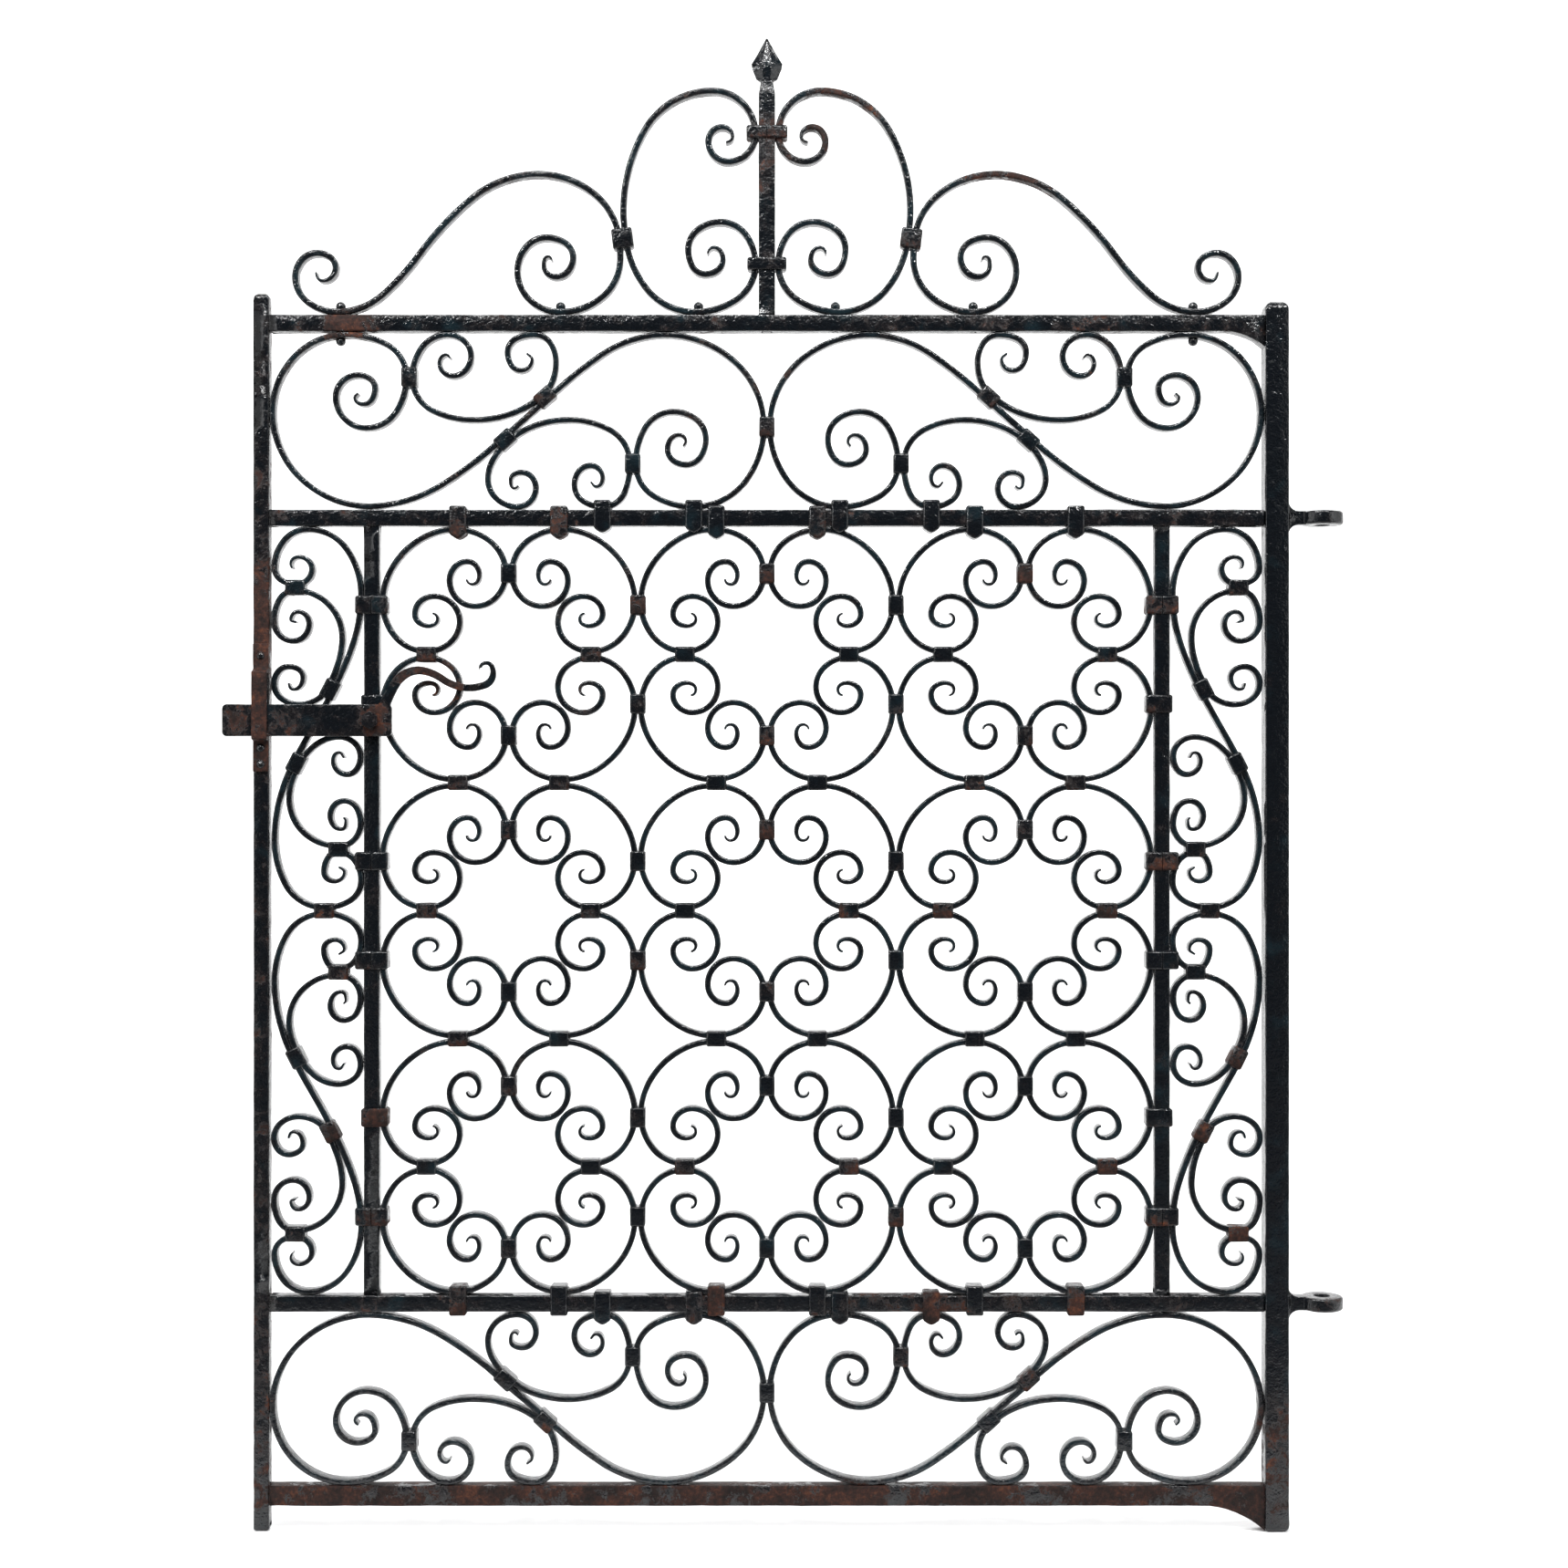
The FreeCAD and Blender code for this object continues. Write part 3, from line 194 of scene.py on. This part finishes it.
def painted_iron(name, bare, teal=0.5, tone=1.0):
    """Thick glossy black paint over forged iron, worn through to brown rust.

    bare is the usual share of rust; the attribute wear on a piece adds to it.  tone scales
    the rust's colour."""
    paint = Paint(name)
    patches = paint.noise(14, 4, 0.6)
    blotches = paint.noise(75, 5, 0.62, warp=0.5)
    grain = paint.noise(560, 3, 0.6)
    wear = paint.attribute("wear")
    reach = 0.40 * patches + 0.44 * blotches + 0.16 * grain + 0.32 * wear + 0.5 * (bare - 0.5)
    rust = reach.step(0.535, 0.575)
    film = reach.step(0.44, 0.54)
    black = paint.mix(paint.noise(38, 2, 0.5).step(0.62 - teal * 0.3, 0.9 - teal * 0.3),
                      PAINT_DEEP, PAINT_TEAL)
    black = paint.mix(film * 0.5, black, PAINT_THIN)
    rust_tone = 1.0 * paint.noise(210, 4, 0.75) + 0.7 * paint.noise(45, 3, 0.5) - 0.35
    stops = [(place, tuple(tone * part for part in shade)) for place, shade in RUST_STOPS]
    lumps = paint.noise(120, 2, 0.5)
    beads = paint.noise(380, 2, 0.5)
    pits = paint.noise(900, 3, 0.7)
    paint_relief = lumps * 0.0012 + beads * 0.00065
    rust_relief = lumps * 0.0010 + beads * 0.0004 + pits * 0.00035 - 0.0003
    normal = paint.relief(paint_relief * (1 - rust) + rust_relief * rust)
    gloss = paint.coat(black, 0.10 + 0.14 * blotches + 0.12 * film, Normal=normal)
    dull = paint.coat(paint.ramp(rust_tone, stops), 0.45 + 0.35 * grain, Normal=normal,
                      Specular_IOR_Level=0.2)
    return paint.finish(paint.blend(rust, gloss, dull))


MATERIALS = {
    "frame_paint": painted_iron("frame paint", 0.36, 0.3),
    "scroll_paint": painted_iron("scroll paint", 0.32, 0.7),
    "collar_paint": painted_iron("collar paint", 0.45, 0.4),
    "latch_paint": painted_iron("latch paint", 0.50, 0.3),
    "rusty_rail": painted_iron("rusty rail", 0.68, 0.2, 0.72),
    "worn_stile": painted_iron("worn stile", 0.46, 0.2),
}

# Places where the paint has gone: x, z, half width, half height in metres, and how far.
WORN_PLACES = (
    (-1.066, 1.072, 0.040, 0.03, 0.5), (-0.418, 0.0, 0.13, 0.03, 0.3),
    (-1.161, 0.757, 0.03, 0.13, 0.35), (-1.161, -0.10, 0.03, 0.16, 0.15),
    (-1.185, 0.6375, 0.022, 0.03, 0.45), (-1.035, 0.6375, 0.022, 0.03, 0.5),
    (-0.96, 0.68, 0.03, 0.03, 0.4), (-0.51, -0.209, 0.045, 0.02, 0.35),
    (-0.608, 1.25, 0.04, 0.045, 0.45), (-0.608, 1.285, 0.05, 0.02, 0.4),
    (-0.88, 1.235, 0.12, 0.05, 0.4), (-0.34, 1.235, 0.12, 0.05, 0.4),
    (-0.52, 1.30, 0.06, 0.05, 0.5), (-0.70, 1.315, 0.05, 0.03, 0.45),
    (-0.05, -0.17, 0.04, 0.12, 0.5), (0.0, 0.0, 0.03, 0.03, 0.1),
)


def wear_at(point):
    """How much more than usual the paint has gone at this place on the gate."""
    total = 0.0
    for x, z, wide, high, amount in WORN_PLACES:
        away = ((point.x - x) / wide) ** 2 + ((point.z - z) / high) ** 2
        total += amount * max(0.0, 1.0 - away)
    return total


# ---------------------------------------------------------------- ironwork

SAME_POINT = 0.002 * MM         # vertices nearer than this are one
FLAT = math.radians(0.4)        # faces that meet at less than this are one
SHARP = math.radians(38)        # edges that turn more than this are rounded
THIN_SHARE = 0.36               # most rounding, as a share of the metal's thickness
ROUND_STEPS = 3                 # faces across a rounded edge
HAMMER_MARKS = 55               # dents per metre
LONG_PITCH = 9 * MM             # bands along the straight bars
SCROLL_ROUNDING = 1.9 * MM
SCROLL_POINTS = 0.15 * MM       # outline points nearer than this are one
SCROLL_END = 10 * MM            # corners across the bar are longer than this
SCROLL_END_TURN = math.radians(35)
SCROLL_END_ROUNDING = 0.7 * MM
THICK_SCROLL = 9 * MM           # metal deeper than this doesn't limit the rounding
THICK_BAR = 12 * MM


def merged_copy(node):
    """The node's mesh as one closed shell with flat faces made whole."""
    bm = bmesh.new()
    bm.from_mesh(NODES[node].data)
    bmesh.ops.remove_doubles(bm, verts=bm.verts, dist=SAME_POINT)
    bmesh.ops.dissolve_limit(bm, angle_limit=FLAT, use_dissolve_boundaries=False,
                             verts=bm.verts, edges=bm.edges, delimit=set())
    return bm


def finished(bm, name):
    """Turn a bmesh into an object of this name."""
    mesh = bpy.data.meshes.new(name)
    bm.to_mesh(mesh)
    bm.free()
    piece = bpy.data.objects.new(name, mesh)
    bpy.context.scene.collection.objects.link(piece)
    return piece


def metal_behind(tree, vert, inward, most):
    """Distance through the metal from a vertex to the far side, up to the given value."""
    hit = tree.ray_cast(vert.co + inward * 0.05 * MM, inward, most)
    return hit[3] if hit[3] else most


def round_flat_bar(bm):
    """Round both long edges all round a flat bar lying in the XZ plane.

    The rounding is smaller where the bar is drawn out thin, so that it never meets itself."""
    bmesh.ops.remove_doubles(bm, verts=bm.verts, dist=SCROLL_POINTS)
    blunt = [edge for edge in bm.edges if len(edge.link_faces) == 2
             and abs(edge.verts[0].co.y - edge.verts[1].co.y) > SCROLL_END
             and edge.calc_face_angle_signed(0.0) > SCROLL_END_TURN]
    if blunt:
        bmesh.ops.bevel(bm, geom=blunt, offset=SCROLL_END_ROUNDING, offset_type="OFFSET",
                        affect="EDGES", segments=2, profile=0.5, material=-1,
                        clamp_overlap=False)
        bmesh.ops.remove_doubles(bm, verts=bm.verts, dist=0.05 * MM)
    bm.normal_update()
    tree = BVHTree.FromBMesh(bm)
    for flat in [face for face in bm.faces if abs(face.normal.y) > 0.999]:
        facing = math.copysign(1.0, flat.normal.y)
        ring = list(flat.verts)
        inward = []
        reach = []
        for vert in ring:
            outward = Vector((0, 0, 0))
            for face in vert.link_faces:
                if abs(face.normal.y) < 0.5:
                    outward += face.normal
            outward.y = 0
            outward.normalize()
            inward.append(-outward)
            metal = metal_behind(tree, vert, -outward, THICK_SCROLL)
            reach.append(min(SCROLL_ROUNDING, THIN_SHARE * metal))
        for i, vert in enumerate(ring):
            come = vert.co - ring[i - 1].co
            go = ring[(i + 1) % len(ring)].co - vert.co
            turn = come.angle(go, 0.0)
            if turn > 0.2 and (go - come).dot(inward[i]) > 0:
                reach[i] = min(reach[i], 0.7 * (come.length + go.length) / 2 / turn)
        for _ in range(6):
            reach = [min(here, (before + here + after) / 3) for before, here, after
                     in zip(reach[-1:] + reach[:-1], reach, reach[1:] + reach[:1])]
        rim = [vert.co.copy() for vert in ring]
        for vert, depth in zip(ring, reach):
            vert.co.y -= facing * depth
        for step in range(1, ROUND_STEPS + 1):
            turn = math.radians(90) * step / ROUND_STEPS
            flat = bmesh.ops.extrude_discrete_faces(bm, faces=[flat])["faces"][0]
            for vert, edge_point, way, depth in zip(flat.verts, rim, inward, reach):
                vert.co = edge_point + way * depth * (1 - math.cos(turn))
                vert.co.y -= facing * depth * (1 - math.sin(turn))
        bmesh.ops.triangulate(bm, faces=[flat], ngon_method="BEAUTY")
    return bm


def round_edges(piece, width):
    """Bevel every sharp edge, narrower where the metal is thin, and keep the result."""
    bm = bmesh.new()
    bm.from_mesh(piece.data)
    bm.normal_update()
    tree = BVHTree.FromBMesh(bm)
    weight = bm.edges.layers.float.new("bevel_weight_edge")
    for edge in bm.edges:
        if len(edge.link_faces) == 2 and edge.calc_face_angle(0.0) > SHARP:
            metal = THICK_BAR
            for face in edge.link_faces:
                for vert in edge.verts:
                    start = vert.co.lerp(face.calc_center_median(), 0.02)
                    hit = tree.ray_cast(start - face.normal * 0.02 * MM, -face.normal, metal)
                    metal = min(metal, hit[3]) if hit[3] else metal
            edge[weight] = min(1.0, metal * THIN_SHARE / width)
    bm.to_mesh(piece.data)
    bm.free()
    bevel = piece.modifiers.new("rounding", "BEVEL")
    bevel.width = width
    bevel.segments = ROUND_STEPS
    bevel.limit_method = "WEIGHT"
    bevel.use_clamp_overlap = False
    bevel.miter_outer = "MITER_ARC"
    graph = bpy.context.evaluated_depsgraph_get()
    mesh = bpy.data.meshes.new_from_object(piece.evaluated_get(graph))
    piece.modifiers.clear()
    piece.data = mesh
    return piece


def beaten(piece, depth):
    """Move the surface in and out a little, as the hammer leaves it."""
    bm = bmesh.new()
    bm.from_mesh(piece.data)
    bm.normal_update()
    for vert in bm.verts:
        place = vert.co * HAMMER_MARKS
        swing = noise.noise(place) + 0.5 * noise.noise(place * 2.7)
        vert.co += vert.normal * depth * swing
    bm.to_mesh(piece.data)
    bm.free()
    return piece


def slice_up(bm, axis, pitch, low, high):
    """Cut the mesh into bands of this pitch across an axis, so that it can be beaten."""
    normal = Vector((0, 0, 0))
    normal[axis] = 1
    count = int((high - low) / pitch)
    for band in range(1, count):
        point = normal * (low + (high - low) * band / count)
        geometry = bm.verts[:] + bm.edges[:] + bm.faces[:]
        bmesh.ops.bisect_plane(bm, geom=geometry, dist=0.01 * MM, plane_co=point, plane_no=normal)


def separate_parts(bm):
    """The vertices of each loose part."""
    left = set(bm.verts)
    parts = []
    while left:
        part = [left.pop()]
        for vert in part:
            for edge in vert.link_edges:
                other = edge.other_vert(vert)
                if other in left:
                    left.remove(other)
                    part.append(other)
        parts.append(part)
    return parts


def mark_wear(mesh, wear, spread, low):
    """Write the attribute wear: by place, by luck for each part, and more towards a part's foot."""
    bm = bmesh.new()
    bm.from_mesh(mesh)
    layer = bm.verts.layers.float.new("wear")
    for part in separate_parts(bm):
        bottom = min(vert.co.z for vert in part)
        top = max(vert.co.z for vert in part)
        left = min(vert.co.x for vert in part)
        luck = noise.cell(Vector((left, 0.0, bottom)) * 91) * spread
        for vert in part:
            share = (top - vert.co.z) / max(top - bottom, MM)
            vert[layer] = wear + wear_at(vert.co) + luck + low * (share - 0.5)
    bm.to_mesh(mesh)
    bm.free()


def put_in_place(piece, node, wear=0.0, spread=0.0, low=0.0):
    """Give the piece its paint, its shading, its wear and its place in the frame."""
    mesh = piece.data
    mesh.materials.clear()
    mesh.materials.append(MATERIALS[SLOTS[node]])
    mesh.shade_smooth()
    mark_wear(mesh, wear, spread, low)
    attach(piece, BODY_OF[node])
    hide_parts(node)
    return piece


def forge(node, rounding, wear=0.0, bands=(), depth=0.2 * MM, spread=0.0, low=0.0):
    """Rounded and hammered copy of a CAD node; bands are (axis, pitch) pairs for long bars."""
    bm = merged_copy(node)
    near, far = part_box(node)
    for axis, pitch in bands:
        slice_up(bm, axis, pitch, near[axis], far[axis])
    piece = finished(bm, node + "_forged")
    round_edges(piece, rounding)
    beaten(piece, depth)
    return put_in_place(piece, node, wear, spread, low)


def forge_scroll(node):
    """Rounded and hammered copy of a scroll or of a group of scrolls."""
    piece = finished(round_flat_bar(merged_copy(node)), node + "_forged")
    beaten(piece, 0.25 * MM)
    return put_in_place(piece, node, 0.0, 0.12)


for node, wear in (("top_rail", 0.12), ("upper_mid_rail", 0.1), ("lower_mid_rail", 0.12),
                   ("bottom_rail", 0.0)):
    forge(node, 1.6 * MM, wear, bands=((X, LONG_PITCH),), depth=0.35 * MM)
for node, wear in (("latch_stile", 0.0), ("hinge_stile", -0.15), ("left_muntin", -0.08),
                   ("right_muntin", -0.05)):
    forge(node, 1.8 * MM, wear, bands=((Z, LONG_PITCH),), depth=0.35 * MM)
forge("spear_upright", 1.0 * MM, bands=((Z, LONG_PITCH),), depth=0.3 * MM)
for node in ("upper_hinge_eye", "lower_hinge_eye"):
    forge(node, 1.2 * MM)
forge("latch_bar", 1.0 * MM, bands=((X, LONG_PITCH), (Z, LONG_PITCH)))
forge("latch_keeper", 1.0 * MM, 0.35, bands=((X, LONG_PITCH), (Z, LONG_PITCH)))
for node in ("latch_pivot_bolt", "latch_pivot_washer", "latch_pivot_nut", "keeper_rivets",
             "crest_rivets"):
    forge(node, 0.4 * MM, -0.35, depth=0.08 * MM)
for node in sorted(NODES):
    if "scroll" in node:
        forge_scroll(node)
    if "collars" in node:
        forge(node, 0.7 * MM, depth=0.25 * MM, spread=0.35, low=0.3)


# ---------------------------------------------------------------- studio

def stage_sheet(name, corners, material):
    """Flat sheet of the studio, with its front on the side its corners run anticlockwise."""
    bm = bmesh.new()
    bm.faces.new([bm.verts.new(corner) for corner in corners])
    mesh = bpy.data.meshes.new(name)
    bm.to_mesh(mesh)
    bm.free()
    mesh.materials.append(material)
    sheet = bpy.data.objects.new(name, mesh)
    bpy.context.scene.collection.objects.link(sheet)


def floor_paint_with_painted_shade():
    """Pale under and behind the gate, going over to grey well in front of it: painted shade, so that
    the gate's lower fronts reflect something dark there.
    """
    paint = Paint("floor with painted shade")
    ahead = paint.along(Y).step(-0.5, -0.12)
    colour = paint.mix(ahead, (0.10, 0.104, 0.108), (0.93, 0.93, 0.93))
    return paint.finish(paint.coat(colour, 0.9))


def glowing_paper(name, glow):
    """Paper lit evenly from behind."""
    paint = Paint(name)
    return paint.finish(paint.coat((0.5, 0.5, 0.5, 1.0), 0.9,
                                   Emission_Color=(1.0, 1.0, 1.0, 1.0), Emission_Strength=glow))


def soft_light(name, place, aim, width, height, glow):
    """Rectangular light of this brightness, facing its aim."""
    lamp = bpy.data.lights.new(name, "AREA")
    lamp.shape = "RECTANGLE"
    lamp.size = width
    lamp.size_y = height
    lamp.energy = glow * math.pi * width * height
    lamp_object = bpy.data.objects.new(name, lamp)
    lamp_object.location = place
    lamp_object.rotation_euler = (Vector(aim) - Vector(place)).to_track_quat("-Z", "Y").to_euler()
    lamp_object.visible_camera = False
    bpy.context.scene.collection.objects.link(lamp_object)


def camera_in_front(distance, frame_width):
    """Camera level with the middle of the gate, as wide as frame_width at the gate's face."""
    middle = (Vector(CAD_BOX[0]) + Vector(CAD_BOX[1])) / 2
    camera = bpy.data.cameras.new("camera")
    camera.sensor_width = 36.0
    camera.lens = 36.0 * distance / frame_width
    holder = bpy.data.objects.new("camera", camera)
    holder.location = (middle.x, -distance, middle.z)
    holder.rotation_euler = (math.radians(90), 0, 0)
    bpy.context.scene.collection.objects.link(holder)
    bpy.context.scene.camera = holder


CAMERA_DISTANCE = 2.7
VIEW_MARGIN = 1.052
HEIGHT = CAD_BOX[1][2] - CAD_BOX[0][2]
MIDDLE_X = (CAD_BOX[0][0] + CAD_BOX[1][0]) / 2
FLOOR = CAD_BOX[0][2]
# The floor's grey part in front of the gate is painted shade for the gate's lower fronts to reflect.
stage_sheet("floor", ((-40, -40, FLOOR), (40, -40, FLOOR), (40, 5.5, FLOOR), (-40, 5.5, FLOOR)),
            floor_paint_with_painted_shade())
stage_sheet("backdrop", ((-12, 5.4, FLOOR), (11, 5.4, FLOOR), (11, 5.4, 6), (-12, 5.4, 6)),
            glowing_paper("backdrop", 0.9))
side_paper = glowing_paper("side paper", 0.42)
for name, x, near, far in (("left paper", -5.6, -8.0, 5.4), ("right paper", 4.5, 5.4, -8.0)):
    stage_sheet(name, ((x, near, FLOOR), (x, far, FLOOR), (x, far, 5), (x, near, 5)), side_paper)
camera_in_front(CAMERA_DISTANCE, HEIGHT * VIEW_MARGIN)
world = bpy.data.worlds.new("studio")
world.use_nodes = True
world.node_tree.nodes["Background"].inputs["Color"].default_value = (0.8, 0.9, 1.0, 1.0)
world.node_tree.nodes["Background"].inputs["Strength"].default_value = 0.06
bpy.context.scene.world = world
bpy.context.scene.view_settings.view_transform = "Standard"
GATE = (MIDDLE_X, 0.0, 0.57)
soft_light("large softbox", (MIDDLE_X, -1.6, 3.0), GATE, 3.2, 1.3, 3.6)
soft_light("left softbox", (MIDDLE_X - 2.4, -1.1, 0.9), GATE, 0.9, 2.4, 1.8)
soft_light("right softbox", (MIDDLE_X + 2.4, -1.1, 0.9), GATE, 0.9, 2.4, 1.8)
for name, across, front, high in (("left spark", -1.5, -2.4, 2.9), ("right spark", 1.3, -2.2, 3.1),
                                  ("top spark", -0.2, -1.3, 3.4)):
    soft_light(name, (MIDDLE_X + across, front, high), GATE, 0.24, 0.24, 300)
soft_light("overhead", (MIDDLE_X, 2.6, 3.6), (MIDDLE_X, 2.6, 0.0), 6.0, 3.6, 3.3)
